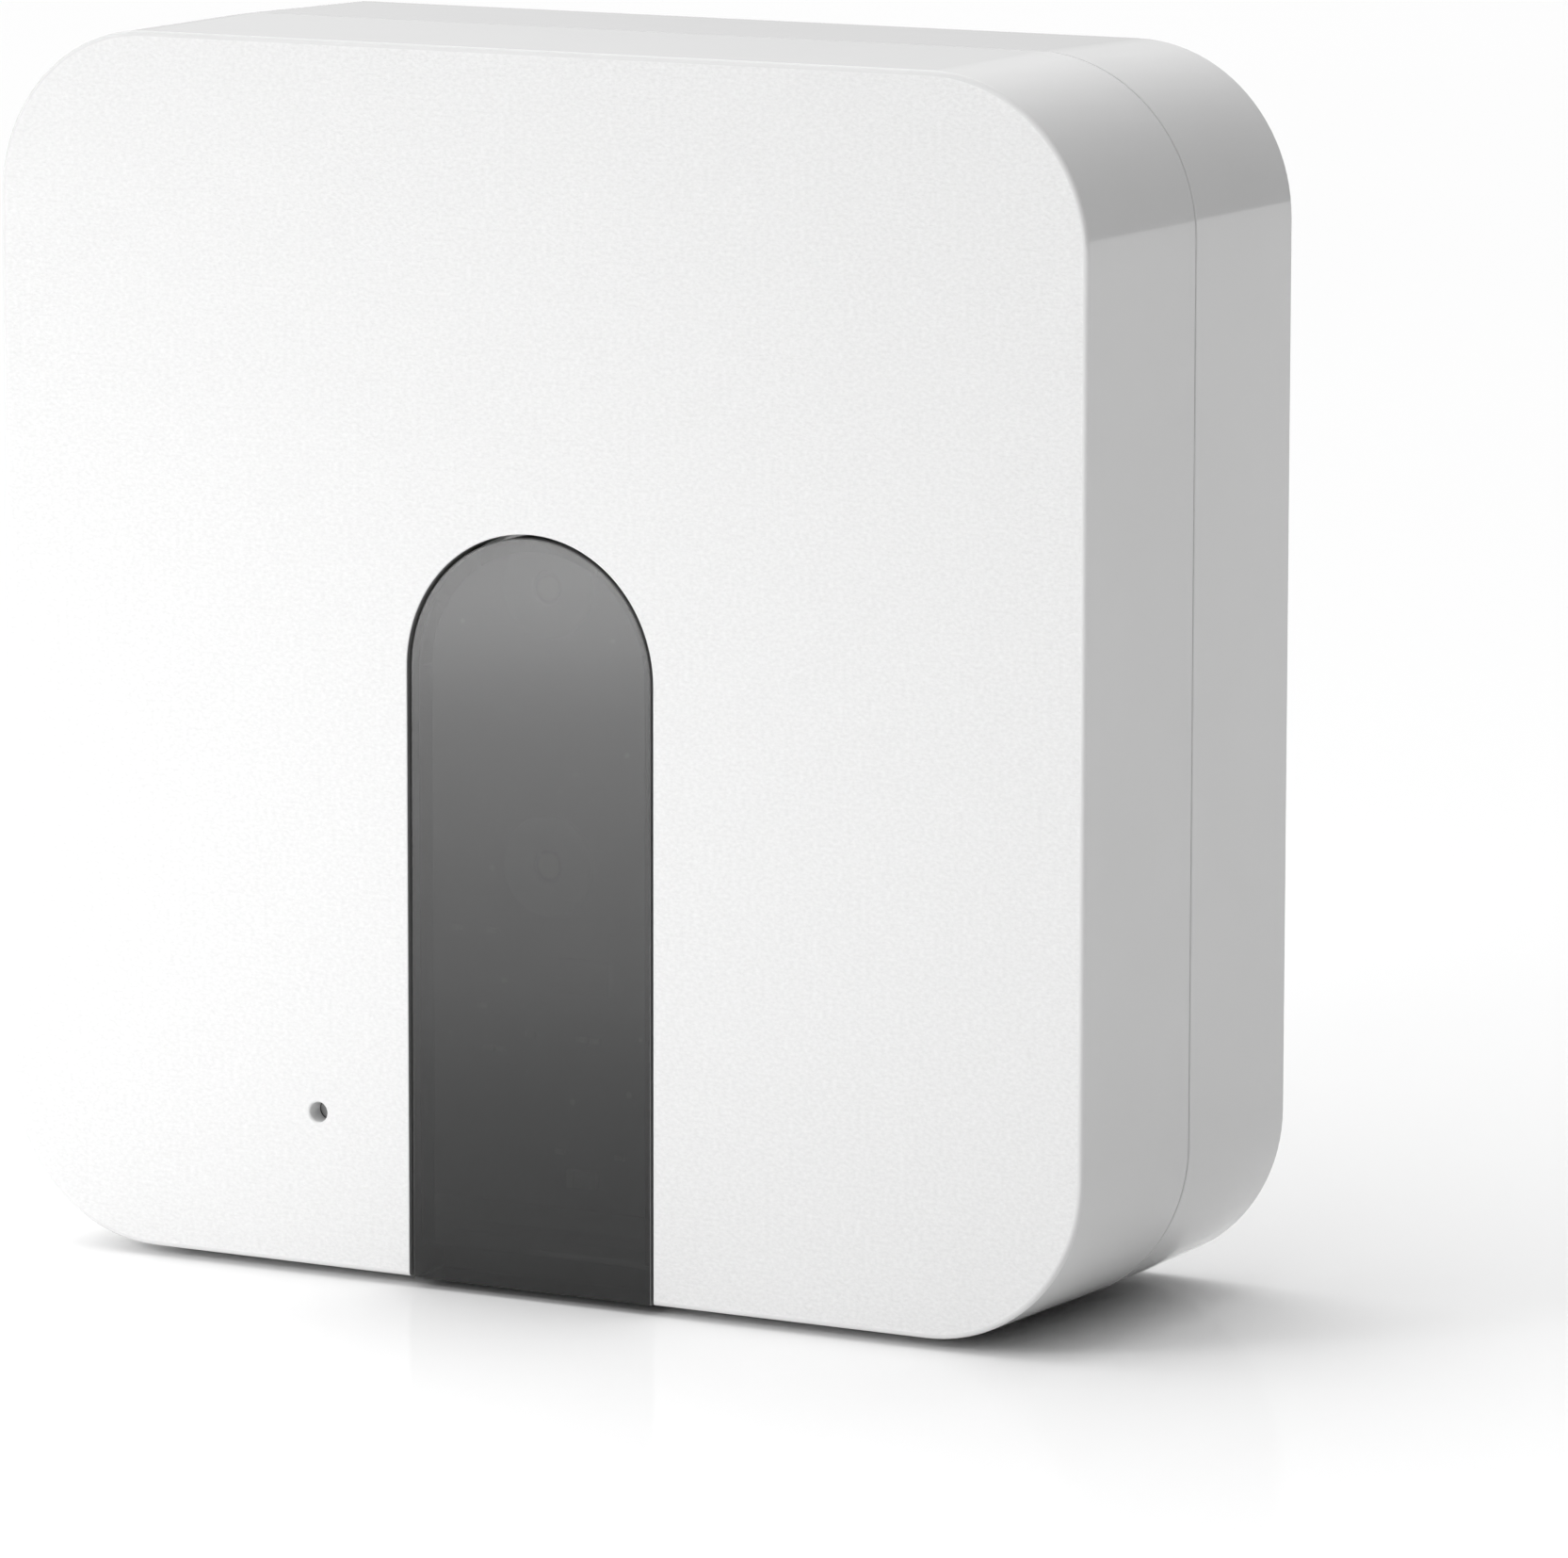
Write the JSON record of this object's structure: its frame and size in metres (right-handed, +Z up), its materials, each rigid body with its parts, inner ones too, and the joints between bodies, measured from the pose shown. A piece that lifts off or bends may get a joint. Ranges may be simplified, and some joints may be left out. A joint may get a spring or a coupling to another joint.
{
  "type": "smart home hub",
  "caption": "Upright square smart home hub with a smoky arched window, status lights, a reset pinhole, a rear pairing button, network and power sockets, and rubber feet.",
  "frame": {"origin": "on the table, under the middle of the case", "axes": "+Z up, the face with the window looks along -Y, +X to the right as seen from the front"},
  "size_m": [0.1104, 0.039, 0.1112],
  "materials": {
    "case_white": "fine spark-eroded grain",
    "smoky_lens": "glossy smoky plastic",
    "black_foam": "matte",
    "front_board": "satin solder mask",
    "diffuser": "milky",
    "led": "glossy",
    "chip_black": "moulded epoxy",
    "chip_parts": "ceramic bodies with tinned ends",
    "switch_black": "satin",
    "stem_white": "satin",
    "screw_steel": "zinc plated",
    "socket_ivory": "satin",
    "ribbon": "glossy film",
    "main_board": "satin solder mask",
    "thermal_pad": "matte",
    "heat_sink": "satin",
    "shield_steel": "tinned",
    "antenna_brass": "stamped",
    "inductor": "pressed ferrite",
    "capacitor": "sleeved can",
    "jack_black": "satin",
    "contact_gold": "gold plated",
    "button_white": "satin",
    "screw_black": "black oxide",
    "foot_rubber": "matte",
    "label": "matte film"
  },
  "bodies": {
    "case": {"front_shell": "case_white", "rear_shell": "case_white", "window_lens": "smoky_lens", "lens_gasket": "black_foam", "front_board": "front_board", "upper_light_ring": "diffuser", "lower_light_ring": "diffuser", "upper_led": "led", "lower_led": "led", "touch_chip": "chip_black", "front_board_parts": "chip_parts", "reset_switch": "switch_black", "front_board_screws": "screw_steel", "front_ribbon_socket": "socket_ivory", "ribbon_cable": "ribbon", "main_ribbon_socket": "socket_ivory", "main_board": "main_board", "main_processor": "chip_black", "thermal_pad": "thermal_pad", "heat_sink": "heat_sink", "memory_chip": "chip_black", "wifi_shield": "shield_steel", "mesh_shield": "shield_steel", "wifi_antenna": "antenna_brass", "mesh_antenna": "antenna_brass", "lan_transformer": "chip_black", "power_inductor": "inductor", "bulk_capacitor": "capacitor", "clock_crystal": "shield_steel", "main_board_parts": "chip_parts", "ethernet_jack": "jack_black", "ethernet_shield": "shield_steel", "ethernet_contacts": "contact_gold", "usb_c_shell": "shield_steel", "usb_c_core": "jack_black", "pairing_switch": "switch_black", "main_board_screws": "screw_steel", "case_screws": "screw_black", "foot_front_left": "foot_rubber", "foot_front_right": "foot_rubber", "foot_rear_left": "foot_rubber", "foot_rear_right": "foot_rubber", "rating_label": "label"},
    "pairing_key": {"pairing_button": "button_white", "pairing_stem": "stem_white"},
    "reset_key": {"reset_stem": "stem_white"}
  },
  "joints": [
    {"name": "pairing_press", "type": "slide", "parent": "case", "child": "pairing_key", "axis": [0, -1, 0], "range_m": [0, 0.0003], "stiffness_N_per_m": 1500, "springref_m": -0.0002},
    {"name": "reset_press", "type": "slide", "parent": "case", "child": "reset_key", "axis": [0, 1, 0], "range_m": [0, 0.00025], "stiffness_N_per_m": 1500, "springref_m": -0.0002}
  ]
}
